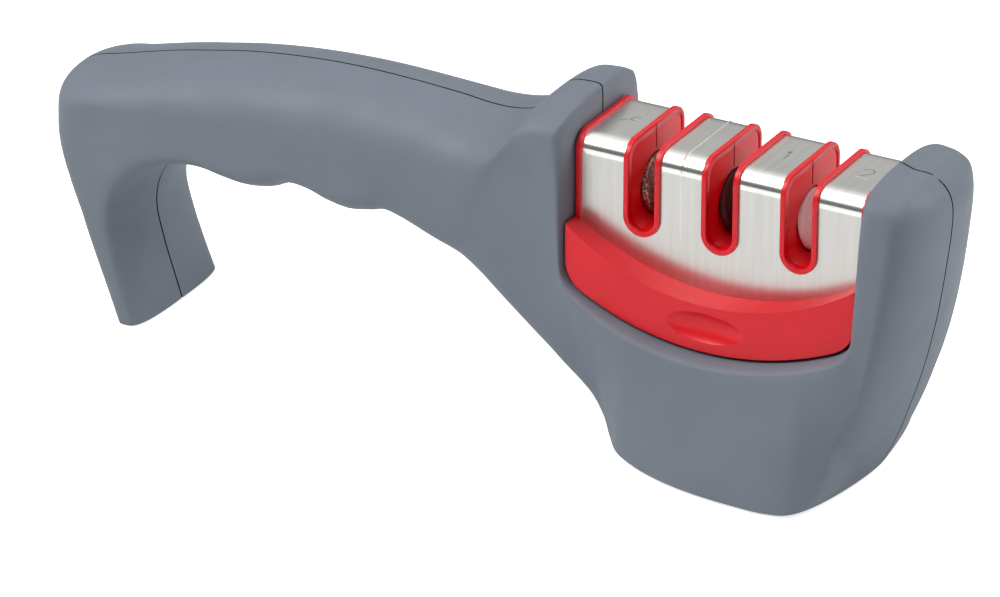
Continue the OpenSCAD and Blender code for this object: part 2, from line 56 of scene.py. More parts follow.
COVER_HALF = SLOT_PITCH + SLOT_W / 2 + LINER_T + END_LAND
WELL_HALF = COVER_HALF + LINER_T + WELL_GAP
CART_X = BODY_LENGTH / 2 - HEAD_END_T - WELL_HALF
HORN_X = CART_X - WELL_HALF - HORN_T
ROOF_Z = BODY_HEIGHT - ROOF_DROP
SHOULDER_Z = ROOF_Z - SHOULDER_R
SLOT_Z = ROOF_Z - SLOT_DEPTH
AXLE_Z = ROOF_Z - DISC_DROP
WELL_LOW_Z = ROOF_Z - INSERT_H - WELL_GAP
LEDGE_LOW_Z = ROOF_Z - INSERT_H + SKIRT_H
FLOOR_CZ = WELL_LOW_Z + FLOOR_R
CORNER_X = WELL_HALF - CORNER_R
CORNER_Z = FLOOR_CZ - math.sqrt((FLOOR_R - CORNER_R) ** 2 - CORNER_X ** 2)
SLOT_XS = [CART_X + i * SLOT_PITCH for i in (-1, 0, 1)]
# Along the steel sheet, from the middle of its roof
ROOF_HALF = COVER_W / 2 - SHOULDER_R
SHOULDER_LEN = SHOULDER_R * math.pi / 2


# Camera, at the photograph's viewing angle
CAMERA_AZIMUTH, CAMERA_ELEVATION = 29.20, 26.13
CAMERA_DISTANCE, CAMERA_LENS = 1536, 245.5
CAMERA_TARGET = Vector((-0.58, 0, 20.26))
SENSOR_WIDTH = 36
CLIP_NEAR_M, CLIP_FAR_M = 0.1, 20


def direction(azimuth, elevation):
    """From the part towards a place given by degrees, 0,0 being the front."""
    a, e = math.radians(azimuth), math.radians(elevation)
    return Vector((math.sin(a) * math.cos(e), -math.cos(a) * math.cos(e), math.sin(e)))


def add_camera():
    back = direction(CAMERA_AZIMUTH, CAMERA_ELEVATION)
    camera = bpy.data.objects.new("camera", bpy.data.cameras.new("camera"))
    bpy.context.collection.objects.link(camera)
    camera.data.lens = CAMERA_LENS
    camera.data.sensor_width = SENSOR_WIDTH
    camera.data.clip_start, camera.data.clip_end = CLIP_NEAR_M, CLIP_FAR_M
    camera.location = (CAMERA_TARGET + back * CAMERA_DISTANCE) * MM
    camera.rotation_euler = (-back).to_track_quat("-Z", "Y").to_euler()
    bpy.context.scene.camera = camera


add_camera()


# Materials
def add_node(tree, kind, inputs):
    """A new shader node whose inputs take values or other nodes' sockets."""
    node = tree.nodes.new("ShaderNode" + kind)
    for key, value in inputs.items():
        if isinstance(value, bpy.types.NodeSocket):
            tree.links.new(value, node.inputs[key])
        else:
            node.inputs[key].default_value = value
    return node


def colour_mix(tree):
    """The sockets of a new colour mix node, by identifier."""
    node = tree.nodes.new("ShaderNodeMix")
    node.data_type = "RGBA"
    return {socket.identifier: socket for socket in [*node.inputs, *node.outputs]}


class Nodes:
    """A material's node tree with short ways to add to it. Coordinates are the
    object's own, in metres, so every texture scale is in features per metre."""

    def __init__(self, name):
        self.material = bpy.data.materials.new(name)
        self.material.use_nodes = True
        self.tree = self.material.node_tree
        self.shader = self.tree.nodes["Principled BSDF"]
        self.place = self.tree.nodes.new("ShaderNodeTexCoord").outputs["Object"]

    def link(self, a, b):
        self.tree.links.new(a, b)

    def set(self, **values):
        for name, value in values.items():
            self.shader.inputs[name.replace("_", " ")].default_value = value
        return self

    def add(self, kind, inputs):
        return add_node(self.tree, kind, inputs)

    def stretched(self, scale, source):
        return self.add("Mapping", {"Scale": scale, "Vector": source}).outputs["Vector"]

    def noise(self, scale, detail, source=None, roughness=0.5):
        inputs = {"Scale": scale, "Detail": detail, "Roughness": roughness, "Vector": source or self.place}
        return self.add("TexNoise", inputs).outputs["Fac"]

    def cells(self, scale, output="Color"):
        return self.add("TexVoronoi", {"Scale": scale, "Vector": self.place}).outputs[output]

    def ramp(self, fac, stops):
        node = self.add("ValToRGB", {"Fac": fac})
        ramp = node.color_ramp
        while len(ramp.elements) < len(stops):
            ramp.elements.new(0.5)
        for element, (at, colour) in zip(ramp.elements, stops):
            element.position = at
            element.color = (*colour, 1)
        return node.outputs["Color"]

    def range(self, fac, low, high, source_low=0.25, source_high=0.75):
        inputs = {"Value": fac, "To Min": low, "To Max": high}
        inputs |= {"From Min": source_low, "From Max": source_high}
        return self.add("MapRange", inputs).outputs["Result"]

    def math(self, operation, a, b):
        node = self.add("Math", {0: a, 1: b})
        node.operation = operation
        return node.outputs["Value"]

    def mixed(self, fac, a, b):
        sockets = colour_mix(self.tree)
        for name, source in (("Factor_Float", fac), ("A_Color", a), ("B_Color", b)):
            self.link(source, sockets[name])
        return sockets["Result_Color"]

    def bump(self, height, depth_mm, strength):
        node = self.add("Bump", {"Strength": strength, "Distance": depth_mm * MM, "Height": height})
        self.link(node.outputs["Normal"], self.shader.inputs["Normal"])

    def colour(self, socket):
        self.link(socket, self.shader.inputs["Base Color"])

    def roughness(self, socket):
        self.link(socket, self.shader.inputs["Roughness"])

    def mottle(self, scale, detail, low, high):
        """A base colour that drifts between two in soft blotches."""
        self.colour(self.ramp(self.noise(scale, detail), [(0.3, low), (0.7, high)]))

    def uneven(self, scale, detail, low, high):
        """A roughness that drifts between two values."""
        self.roughness(self.range(self.noise(scale, detail), low, high))


def shades(colour, spread):
    """Two colours a little darker and lighter than the one given."""
    return [tuple(c * (1 - spread) for c in colour), tuple(c * (1 + spread) for c in colour)]


def soft_touch_grey():
    """A matte rubbery coat with a fine even grain and faint handling marks."""
    n = Nodes("soft_touch_grey").set(IOR=1.45, Specular_IOR_Level=0.4)
    n.mottle(90, 4, *shades(SOFT_GREY, 0.035))
    n.uneven(160, 3, 0.50, 0.62)
    n.bump(n.noise(6500, 2), 0.012, 0.5)
    return n.material


def seam_shadow():
    """Painted shade for the dark bottom of a joint between two mouldings."""
    n = Nodes("seam_shadow").set(IOR=1.45, Specular_IOR_Level=0.1)
    n.mottle(700, 3, (0.016, 0.018, 0.020), (0.030, 0.033, 0.038))
    n.uneven(900, 2, 0.7, 0.9)
    return n.material


def moulded_red():
    """Satin moulded plastic with a very slight unevenness."""
    n = Nodes("moulded_red").set(IOR=1.5, Specular_IOR_Level=0.38)
    n.mottle(120, 3, *shades(INSERT_RED, 0.03))
    n.roughness(n.range(n.noise(300, 2), 0.26, 0.32, 0, 1))
    return n.material


def brushed_steel():
    """Sheet steel brushed along its flat faces and smoother at the bend of its shoulders, where a lighter
    colour is a painted highlight. The sheet's own flat coordinates, in millimetres, place both."""
    n = Nodes("brushed_steel").set(Metallic=1.0, Anisotropic=0.3)
    flat = n.add("UVMap", {})
    flat.uv_map = SHEET_MAP
    split = n.add("SeparateXYZ", {"Vector": flat.outputs["UV"]})
    from_middle = n.math("ABSOLUTE", split.outputs["Y"], 0)
    start, end = (ROOF_HALF + SHOULDER_LEN * share for share in POLISH_HIGHLIGHT_SHARES)
    bend = n.math("MULTIPLY", n.range(from_middle, 0, 1, start - POLISH_HIGHLIGHT_FADE_IN, start + POLISH_HIGHLIGHT_FADE_IN),
                  n.range(from_middle, 1, 0, end - POLISH_HIGHLIGHT_FADE_OUT, end + POLISH_HIGHLIGHT_FADE_OUT))
    streaks = n.noise(1, 5, n.stretched((14.0, 0.12, 1), flat.outputs["UV"]), 0.6)
    broad = n.noise(1, 2, n.stretched((0.8, 0.03, 1), flat.outputs["UV"]))
    mixed = n.math("ADD", n.math("MULTIPLY", streaks, 0.5), n.math("MULTIPLY", broad, 0.5))
    brushed = n.ramp(mixed, [(0.35, (0.560, 0.555, 0.525)), (0.65, (0.640, 0.635, 0.605))])
    # The bend's lighter colour is a painted highlight; its lower roughness is the real polish.
    polish_painted_highlight = n.ramp(broad, [(0.35, (0.830, 0.825, 0.795)), (0.65, (0.870, 0.865, 0.835))])
    n.colour(n.mixed(bend, brushed, polish_painted_highlight))
    n.roughness(n.math("MULTIPLY", n.range(streaks, 0.26, 0.34), n.range(bend, 1, 0.58, 0, 1)))
    n.bump(streaks, 0.002, 0.4)
    return n.material


def stamped_steel_painted_shade():
    """The duller, finely pitted face of a stamped stroke, its dark colour painted as the shade of a stamped
    recess.
    """
    n = Nodes("stamped_steel_painted_shade").set(Metallic=1.0)
    n.mottle(4000, 2, (0.24, 0.24, 0.23), (0.32, 0.32, 0.30))
    n.uneven(3000, 2, 0.35, 0.5)
    return n.material


def bead_highlight_steel():
    """The flank of a pressed bead, dull and painted pale as a highlight."""
    n = Nodes("bead_highlight_steel").set(Specular_IOR_Level=0.3)
    n.mottle(3000, 2, (0.84, 0.84, 0.82), (0.92, 0.92, 0.90))
    n.uneven(3000, 2, 0.5, 0.6)
    return n.material


def turned_metal(name, colour, rough):
    """Turned metal with a slight mottle and a fine grain."""
    n = Nodes(name).set(Metallic=1.0)
    n.mottle(900, 3, *shades(colour, 0.08))
    n.uneven(2500, 3, rough - 0.06, rough + 0.08)
    n.bump(n.noise(9000, 2), 0.004, 0.4)
    return n.material


def plain_plastic(name, colour, rough):
    """Moulded plastic of the small inner pieces."""
    n = Nodes(name)
    n.mottle(700, 3, *shades(colour, 0.06))
    n.uneven(1500, 2, rough - 0.05, rough + 0.08)
    n.bump(n.noise(5000, 2), 0.01, 0.4)
    return n.material


def bonded_grit(name, binder, crystal, grain, metallic, rough, height):
    """Bonded grit: crystals of one grain size, each of its own shade."""
    n = Nodes(name).set(Metallic=metallic)
    shade = n.cells(grain)
    bright = tuple(min(1, c * 1.5) for c in crystal)
    n.colour(n.ramp(shade, [(0.25, binder), (0.62, crystal), (0.9, bright)]))
    n.roughness(n.range(shade, rough, rough + 0.25))
    n.bump(n.cells(grain, "Distance"), height, 0.9)
    return n.material


def black_rubber():
    """Black rubber with a pebbled face."""
    n = Nodes("black_rubber").set(IOR=1.5)
    n.mottle(700, 3, (0.010, 0.010, 0.011), (0.020, 0.020, 0.022))
    n.uneven(1500, 2, 0.65, 0.85)
    n.bump(n.cells(900, "Distance"), 0.05, 0.7)
    return n.material


SHEET_MAP = "sheet"
# Where the bend is smoother and painted lighter as a highlight, in shares of its length, and how softly in
# millimetres
POLISH_HIGHLIGHT_SHARES = (0.18, 1.06)
POLISH_HIGHLIGHT_FADE_IN, POLISH_HIGHLIGHT_FADE_OUT = 0.5, 0.12
SOFT_GREY = (0.190, 0.216, 0.256)
INSERT_RED = (0.80, 0.008, 0.018)
GREY = soft_touch_grey()
SEAM = seam_shadow()
RED = moulded_red()
STEEL = brushed_steel()
# The strokes' dark colour is painted shade; their rougher finish is real
STAMPED_WITH_PAINTED_SHADE = stamped_steel_painted_shade()
# The bead's pale flank: a painted highlight
BEAD_PAINTED_HIGHLIGHT = bead_highlight_steel()
SCREW_STEEL = turned_metal("screw_steel", (0.55, 0.55, 0.56), 0.34)
AXLE_STEEL = turned_metal("axle_steel", (0.70, 0.70, 0.71), 0.16)
BRASS = turned_metal("bush_brass", (0.62, 0.42, 0.18), 0.30)
NYLON = plain_plastic("washer_nylon", (0.72, 0.70, 0.64), 0.45)
CLIP = plain_plastic("clip_plastic", (0.035, 0.035, 0.04), 0.5)
# Binder and crystal colours, grains per metre, metallic share, roughness, grain height
DIAMOND = bonded_grit("diamond_grit", (0.16, 0.10, 0.075), (0.46, 0.33, 0.26), 2600, 0.55, 0.25, 0.12)
# The coarse grit's dark red is painted shade, so its discs sit back like the slot's shadow
COARSE_PAINTED_SHADE = bonded_grit("coarse_grit", (0.055, 0.004, 0.004), (0.080, 0.010, 0.010), 1900, 0.1, 0.5, 0.08)
CERAMIC = bonded_grit("white_ceramic", (0.90, 0.88, 0.88), (0.95, 0.94, 0.94), 5200, 0.0, 0.35, 0.012)
RUBBER = black_rubber()


# Making pieces
def new_object(name, points, faces):
    """An object whose mesh has its points given in millimetres."""
    mesh = bpy.data.meshes.new(name)
    mesh.from_pydata([tuple(float(c) * MM for c in p) for p in points], [], faces)
    obj = bpy.data.objects.new(name, mesh)
    bpy.context.collection.objects.link(obj)
    return obj


def sharpen(obj, degrees):
    """Keeps edges crisp where two faces meet at more than an angle."""
    obj.data.set_sharp_from_angle(angle=math.radians(degrees))


def outward(obj):
    """Turns every face's normal outwards."""
    mesh = bmesh.new()
    mesh.from_mesh(obj.data)
    bmesh.ops.recalc_face_normals(mesh, faces=mesh.faces)
    mesh.to_mesh(obj.data)
    mesh.free()


def piece(name, points, faces, body, slot, material, crease=None, smooth=True, replaced=()):
    """A new object that rides on a body and may stand for CAD nodes. Edges
    between faces that meet at more than crease degrees stay crisp."""
    obj = new_object(name, points, faces)
    mesh = obj.data
    mesh.validate()
    mesh.materials.append(material)
    mesh.polygons.foreach_set("use_smooth", [smooth] * len(mesh.polygons))
    outward(obj)
    if crease:
        sharpen(obj, crease)
    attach(obj, body)
    if replaced:
        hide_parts(*replaced)
    return obj


def apply_modifiers(obj):
    """Makes what the modifiers do the object's own mesh."""
    graph = bpy.context.evaluated_depsgraph_get()
    mesh = bpy.data.meshes.new_from_object(obj.evaluated_get(graph))
    obj.modifiers.clear()
    obj.data = mesh


def joined(solids):
    """The points and faces of several solids as one."""
    points, faces = [], []
    for p, f in solids:
        base = len(points)
        points += list(p)
        faces += [[base + i for i in face] for face in f]
    return points, faces


def carve(obj, solids, operation="DIFFERENCE"):
    """Takes solids out of obj, or keeps only what is inside them: INTERSECT."""
    tool = new_object("carving_tool", *joined(solids))
    mesh = tool.data
    outward(tool)
    modifier = obj.modifiers.new("carve", "BOOLEAN")
    modifier.operation, modifier.solver, modifier.object = operation, "EXACT", tool
    apply_modifiers(obj)
    bpy.data.objects.remove(tool)
    bpy.data.meshes.remove(mesh)


def quarter(steps):
    """The angles of a quarter turn, both ends included."""
    return [math.pi / 2 * k / steps for k in range(steps + 1)]


def lathe(profile, origin, axis, segments):
    """Points and faces of a profile of (along, radius) turned about an axis."""
    axis = Vector(axis).normalized()
    side = axis.orthogonal().normalized()
    other = axis.cross(side)
    points, faces = [], []
    for k in range(segments):
        a = 2 * math.pi * k / segments
        spoke = side * math.cos(a) + other * math.sin(a)
        points += [Vector(origin) + axis * x + spoke * r for x, r in profile]
    n = len(profile)
    for k in range(segments):
        a, b = k * n, (k + 1) % segments * n
        faces += [[a + i, b + i, b + i + 1, a + i + 1] for i in range(n - 1)]
    faces.append([k * n for k in range(segments)][::-1])
    faces.append([k * n + n - 1 for k in range(segments)])
    return points, faces


BEVEL_SEGMENTS, BEVEL_DEGREES = 2, 30


def bevel(obj, width, harden=True):
    """Rounds the edges between faces that meet at more than an angle."""
    modifier = obj.modifiers.new("bevel", "BEVEL")
    modifier.width = width * MM
    modifier.segments = BEVEL_SEGMENTS
    modifier.limit_method = "ANGLE"
    modifier.angle_limit = math.radians(BEVEL_DEGREES)
    modifier.harden_normals = harden


# Body: a dense loft between the CAD source's two rails. Rail points are shares of
# the length left or right of the horn and of the height. The tables give half
# widths, corner roundings and squareness by station, read between their rows.
HANDLE_RAILS = [
    ((0.136, 0), (0.213, 0)), ((0.115, 0.082), (0.193, 0.094)), ((0.086, 0.190), (0.174, 0.190)),
    ((0.056, 0.305), (0.161, 0.286)), ((0.028, 0.420), (0.167, 0.364)),
    ((0.006, 0.535), (0.187, 0.425)), ((0, 0.618), (0.218, 0.470)), ((0.002, 0.689), (0.254, 0.501)),
    ((0.039, 0.726), (0.285, 0.512)), ((0.090, 0.747), (0.319, 0.517)),
    ((0.151, 0.773), (0.357, 0.514)), ((0.217, 0.800), (0.398, 0.499)),
    ((0.286, 0.823), (0.433, 0.490)), ((0.356, 0.845), (0.474, 0.498)),
    ((0.429, 0.862), (0.515, 0.524)), ((0.503, 0.874), (0.560, 0.520)),
    ((0.576, 0.881), (0.601, 0.499)), ((0.646, 0.883), (0.642, 0.489)),
    ((0.711, 0.881), (0.683, 0.500)), ((0.773, 0.877), (0.715, 0.513)),
    ((0.830, 0.872), (0.748, 0.503)), ((0.883, 0.864), (0.781, 0.486)),
    ((0.932, 0.865), (0.809, 0.470)), ((0.975, 0.880), (0.833, 0.458)),
    ((1.006, 0.915), (0.854, 0.448)), ((1.033, 0.962), (0.873, 0.437)),
    ((1.066, 0.992), (0.890, 0.422)), ((1.102, 1), (0.908, 0.403)), ((1.134, 0.998), (0.925, 0.383))]
LEFT_WALL_RAIL = [(0.941, 0.362), (0.968, 0.326), (0.998, 0.287), (1.039, 0.244), (1.079, 0.205),
                  (1.110, 0.174), (1.141, 0.144), (1.173, 0.113), (1.203, 0.078)]
FLOOR_RAIL = [(1.226, 0.034), (1.250, 0), (1.292, 0), (1.358, 0), (1.428, 0), (1.498, 0), (1.569, 0),
              (1.639, 0), (1.704, 0), (1.760, 0), (1.802, 0)]
RIGHT_WALL_RAIL = [(1.834, 0.014), (1.866, 0.086), (1.892, 0.164), (1.912, 0.240), (1.930, 0.310),
                   (1.951, 0.411), (1.972, 0.541), (1.988, 0.681), (1.998, 0.790)]
HORN_END_RAILS = [((1.872, 0.968), (2, 0.860)), ((1.905, 0.958), (1.993, 0.902)),
                  ((1.930, 0.957), (1.979, 0.928)), ((1.946, 0.955), (1.966, 0.941))]
WALL_SHARES = [0.94, 0.75, 0.52, 0.29, 0.12]
CORNER_STEPS = 3
FLOOR_SHARES = [-0.88, -0.75, -0.57, -0.38, -0.19, 0, 0.19, 0.38, 0.57, 0.75, 0.88]
RIGHT_HORN_SHARE = HORN_END_RAILS[0][0][1]

UPPER_WIDTHS = [(0, 0.307), (3, 0.298), (6, 0.278), (9, 0.282), (20, 0.282), (23, 0.316), (26, 0.320),
                (36, 0.336), (38, 0.364), (40, 0.383), (43, 0.385), (46, 0.372), (49, 0.373), (53, 0.353),
                (57, 0.315), (58, 0.298), (59, 0.262), (60, 0.230), (61, 0.212)]
LOWER_WIDTHS = [(0, 0.305), (3, 0.291), (6, 0.303), (9, 0.262), (29, 0.262), (34, 0.243), (38, 0.220),
                (39, 0.250), (40, 0.344), (41, 0.410), (42, 0.456), (43, 0.484), (44, 0.498), (45, 0.503),
                (46, 0.503), (47, 0.480), (48, 0.410), (49, 0.356), (50, 0.334), (51, 0.326), (52, 0.330),
                (54, 0.350), (57, 0.330), (58, 0.300), (59, 0.258), (60, 0.224), (61, 0.210)]
UPPER_ROUNDS = [(0, 0.090), (4, 0.112), (6, 0.112), (9, 0.188), (20, 0.222), (23, 0.168), (26, 0.130),
                (29, 0.122), (31, 0.134), (33, 0.184), (34, 0.184), (36, 0.069), (38, 0.061), (48, 0.061),
                (50, 0.073), (52, 0.148), (54, 0.118), (56, 0.100), (58, 0.150), (59, 0.100), (60, 0.048),
                (61, 0.020)]
LOWER_ROUNDS = [(0, 0.064), (4, 0.084), (7, 0.136), (10, 0.140), (33, 0.140), (36, 0.114), (38, 0.070),
                (40, 0.020), (47, 0.012), (48, 0.100), (49, 0.250), (50, 0.300), (52, 0.246), (55, 0.236),
                (57, 0.186), (58, 0.137), (59, 0.086), (60, 0.046), (61, 0.018)]
UPPER_SQUARE = [(0, 2), (4, 2.3), (8, 2), (22, 2.3), (28, 2), (29, 2.5), (30, 4), (31, 7), (34, 8), (37, 6),
                (49, 6), (52, 8), (56, 7), (58, 2), (61, 2)]
LOWER_SQUARE = [(0, 3), (8, 2.8), (37, 3), (38, 4), (40, 8), (47, 8), (48, 4), (49, 1.6), (50, 1.8),
                (58, 2.2), (61, 2)]
ROUND_LIMIT = 0.48
ROW_STEPS = 8
ROUND_STEPS = 12
FACE_STEPS = 10
EVENING = 0.7
SEAM_DEPTH, SEAM_HALF = 0.65, 0.25
BODY_CREASE = 38


def rail_point(share):
    """(x, z) of a place given along and above in shares."""
    along, above = share
    if along <= 1:
        x = -BODY_LENGTH / 2 + along * (HORN_X + BODY_LENGTH / 2)
    else:
        x = HORN_X + (along - 1) * (BODY_LENGTH / 2 - HORN_X)
    return x, PAD_PROUD + above * (BODY_HEIGHT - PAD_PROUD)


def well_rail():
    """The well's outline, from the left horn's wall round to the right one's."""
    floor_half = FLOOR_R * CORNER_X / (FLOOR_R - CORNER_R)
    corner_end = math.acos(CORNER_X / (FLOOR_R - CORNER_R))
    right_top = rail_point((2, RIGHT_HORN_SHARE))[1]

    def wall(side, share, top):
        return CART_X + side * WELL_HALF, CORNER_Z + share * (top - CORNER_Z)

    def corner(side, k):
        a = corner_end * k / CORNER_STEPS
        return CART_X + side * (CORNER_X + CORNER_R * math.cos(a)), CORNER_Z - CORNER_R * math.sin(a)

    def floor(share):
        x = share * floor_half
        return CART_X + x, FLOOR_CZ - math.sqrt(FLOOR_R ** 2 - x ** 2)

    return ([wall(-1, s, BODY_HEIGHT) for s in WALL_SHARES]
            + [corner(-1, k) for k in range(CORNER_STEPS + 1)]
            + [floor(s) for s in FLOOR_SHARES]
            + [corner(1, k) for k in range(CORNER_STEPS, -1, -1)]
            + [wall(1, s, right_top) for s in reversed(WALL_SHARES)])


def body_rows():
    """Per station: both rail points, half widths, roundings and squareness."""
    upper = ([rail_point(r[0]) for r in HANDLE_RAILS] + well_rail()
             + [rail_point(r[0]) for r in HORN_END_RAILS])
    lower = ([rail_point(r[1]) for r in HANDLE_RAILS]
             + [rail_point(p) for p in LEFT_WALL_RAIL + FLOOR_RAIL + RIGHT_WALL_RAIL]
             + [rail_point(r[1]) for r in HORN_END_RAILS])
    stations = np.arange(len(upper))

    def spread(table, scale):
        xs, ys = zip(*table)
        values = np.interp(stations, xs, ys) * scale
        evened = values.copy()
        evened[1:-1] = values[1:-1] * EVENING + (values[:-2] + values[2:]) * (1 - EVENING) / 2
        return evened

    columns = [spread(UPPER_WIDTHS, BODY_WIDTH), spread(LOWER_WIDTHS, BODY_WIDTH),
               spread(UPPER_ROUNDS, BODY_WIDTH), spread(LOWER_ROUNDS, BODY_WIDTH),
               spread(UPPER_SQUARE, 1), spread(LOWER_SQUARE, 1)]
    return np.column_stack([np.array(upper), np.array(lower), *columns])


def smooth_rows(rows):
    """A smooth curve through the rows."""
    last = len(rows) - 1
    out = []
    for i in range(last):
        a, b, c, d = (rows[max(0, min(last, i + k))] for k in (-1, 0, 1, 2))
        for k in range(ROW_STEPS):
            t = k / ROW_STEPS
            out.append(b + t / 2 * (c - a + t * (2 * a - 5 * b + 4 * c - d + t * (3 * (b - c) + d - a))))
    out.append(rows[last])
    return out


def section(row):
    """Half of one section, from the seam at the upper rail to the lower one."""
    a, b = np.array(row[0:2]), np.array(row[2:4])
    size = np.linalg.norm(b - a)
    way = (b - a) / size
    ra, rb = min(row[6], size * ROUND_LIMIT), min(row[7], size * ROUND_LIMIT)
    flat = size - ra - rb
    turns = quarter(ROUND_STEPS)[1:-1]
    marks = [(ra * (1 - math.cos(q) ** (2 / row[8])), math.sin(q) ** (2 / row[8])) for q in turns]
    marks += [(ra + flat * k / FACE_STEPS, 1) for k in range(FACE_STEPS + 1)]
    marks += [(size - rb * (1 - math.cos(q) ** (2 / row[9])), math.sin(q) ** (2 / row[9]))
              for q in reversed(turns)]

    def place(p, half):
        return p[0], -half, p[1]

    points = [place(a + way * SEAM_DEPTH, 0.0), place(a, SEAM_HALF)]
    for along, share in marks:
        half = row[4] + (row[5] - row[4]) * along / size
        points.append(place(a + way * along, half * share))
    return points + [place(b, SEAM_HALF), place(b - way * SEAM_DEPTH, 0.0)]


def body_half(name, side, node):
    """One shell, side -1 or 1, with the seam's flank painted dark as shade."""
    sections = [section(row) for row in smooth_rows(body_rows())]
    n, last = len(sections[0]), len(sections) - 1
    points = [(x, -side * y, z) for s in sections for x, y, z in s]
    faces = []
    for i in range(last):
        p, q = i * n, (i + 1) * n
        faces += [[p + j, q + j, q + j + 1, p + j + 1] for j in range(n - 1)]
        faces.append([p, p + n - 1, q + n - 1, q])
    faces.append(list(range(n)))
    faces.append([last * n + j for j in reversed(range(n))])
    obj = piece(name, points, faces, "housing", "soft_grey", GREY, replaced=[node])
    # The seam's flanks take the painted shade
    obj.data.materials.append(SEAM)
    for face in obj.data.polygons:
        place = face.index % n
        if face.index < last * n and place in (0, n - 2):
            face.material_index = 1
    return obj


# Screw places in the body, as shares of the rails' own measures
SCREW_PLACES = [(0.40, 0.67), (0.73, 0.70), (0.97, 0.60), (1.36, 0.19), (1.68, 0.19)]
HEAD_HOLE_D, SCREW_HEAD_D, SCREW_HEAD_T, SCREW_SEAT_Y = 5.8, 5.2, 1.8, 3
PILOT_D, SCREW_REACH = 2.2, 7
SCREW_CREASE, SCREW_SEGMENTS, HOLE_SEGMENTS = 35, 40, 48
SCREW_TIP_LEN, SCREW_TIP_SHARE = 1.2, 0.2
SCREW_ROUND_SHARE, SCREW_ROUND_STEPS = 0.35, 6
# The cross cut's half length, half width and depth, in shares of the head
CROSS_SHARES = (0.30, 0.075, 0.6)


def build_body():
    front = body_half("body_front", -1, "body_front_shell")
    rear = body_half("body_rear", 1, "body_rear_shell")
    bore = [(SCREW_SEAT_Y, HEAD_HOLE_D / 2), (BODY_WIDTH / 2, HEAD_HOLE_D / 2)]
    carve(rear, [lathe(bore, (x, 0, z), (0, 1, 0), HOLE_SEGMENTS)
                 for x, z in map(rail_point, SCREW_PLACES)])
    for obj in (front, rear):
        sharpen(obj, BODY_CREASE)


def screw(origin, head_d, head_t, shank_d, reach):
    """A pan-head screw along +Y, its head still uncut; screws carves the cross into it."""
    r = head_d / 2
    edge = SCREW_ROUND_SHARE * head_t
    profile = [(-reach, shank_d * SCREW_TIP_SHARE), (-reach + SCREW_TIP_LEN, shank_d / 2),
               (0, shank_d / 2), (0, r), (head_t - edge, r)]
    profile += [(head_t - edge + edge * math.sin(q), r - edge + edge * math.cos(q))
                for q in quarter(SCREW_ROUND_STEPS)[1:]]
    return lathe(profile, origin, (0, 1, 0), SCREW_SEGMENTS)


def cross_cut(origin, head_d, head_t):
    """Two crossed bars to cut out of a screw's head."""
    x, y, z = origin
    long, wide, deep = head_d * CROSS_SHARES[0], head_d * CROSS_SHARES[1], head_t * CROSS_SHARES[2]
    solids = []
    for hx, hz in ((long, wide), (wide, long)):
        corners = [(x + sx * hx, y + sy, z + sz * hz)
                   for sy in (head_t - deep, head_t + 1) for sx, sz in ((-1, -1), (1, -1), (1, 1), (-1, 1))]
        faces = [[0, 1, 2, 3], [7, 6, 5, 4], [0, 4, 5, 1], [1, 5, 6, 2], [2, 6, 7, 3], [3, 7, 4, 0]]
        solids.append((corners, faces))
    return solids


def screws(name, origins, head_d, head_t, shank_d, reach, body, node):
    """Equal screws as one piece."""
    obj = piece(name, *joined([screw(o, head_d, head_t, shank_d, reach) for o in origins]), body,
                "screw_steel", SCREW_STEEL, replaced=[node])
    for o in origins:
        for solid in cross_cut(o, head_d, head_t):
            carve(obj, [solid])
    sharpen(obj, SCREW_CREASE)


# Seats that rise from the well's floor and take the insert's pegs
SEAT_X, SEAT_LEN, SEAT_HALF_W, SEAT_DROP = SLOT_PITCH / 2, 8, 8, 6
PEG_HOLE_D, PEG_LEN, PEG_Y = 5.2, 9, 4.2
SEAT_Z = AXLE_Z - DISC_D / 2 - SEAT_DROP
SEAT_ROUND, SEAT_ROUND_STEPS = 0.8, 5
SEAT_SINK, SEAT_BEVEL, SEAT_CREASE = 1, 0.3, 40


def seat(side, half):
    """One seat of one half: a block with two round upright corners."""
    x0, x1 = CART_X + side * SEAT_X - SEAT_LEN / 2, CART_X + side * SEAT_X + SEAT_LEN / 2
    far = SEAT_HALF_W - SEAT_ROUND
    corner = [(SEAT_ROUND * (1 - math.cos(a)), far + SEAT_ROUND * math.sin(a))
              for a in quarter(SEAT_ROUND_STEPS)]
    outline = [(x1, 0)] + [(x1 - x, y) for x, y in corner]
    outline += [(x0 + x, y) for x, y in reversed(corner)] + [(x0, 0)]
    n = len(outline)
    points = [(x, half * y, z) for z in (WELL_LOW_Z - SEAT_SINK, SEAT_Z) for x, y in outline]
    faces = [[k, (k + 1) % n, n + (k + 1) % n, n + k] for k in range(n)]
    faces += [list(range(n))[::-1], [n + k for k in range(n)]]
    return points, faces


def build_seats():
    for name, half in (("front", -1), ("rear", 1)):
        obj = piece("seats_" + name, *joined([seat(side, half) for side in (-1, 1)]),
                    "housing", "soft_grey", GREY)
        bore = [(SEAT_Z - PEG_LEN - SEAT_SINK, PEG_HOLE_D / 2), (SEAT_Z + SEAT_SINK, PEG_HOLE_D / 2)]
        place = (CART_X + half * SEAT_X, half * PEG_Y, 0)
        carve(obj, [lathe(bore, place, (0, 0, 1), HOLE_SEGMENTS)])
        bevel(obj, SEAT_BEVEL)
        apply_modifiers(obj)
        sharpen(obj, SEAT_CREASE)


build_body()
build_seats()
screws("body_screw_set", [(x, SCREW_SEAT_Y, z) for x, z in map(rail_point, SCREW_PLACES)],
       SCREW_HEAD_D, SCREW_HEAD_T, PILOT_D, SCREW_REACH, "housing", "body_screws")


# Steel cover: a flat sheet with slots, wrapped over the insert
COVER_GAP = 0.1
SLOT_EDGE = SLOT_W / 2 + LINER_T + COVER_GAP
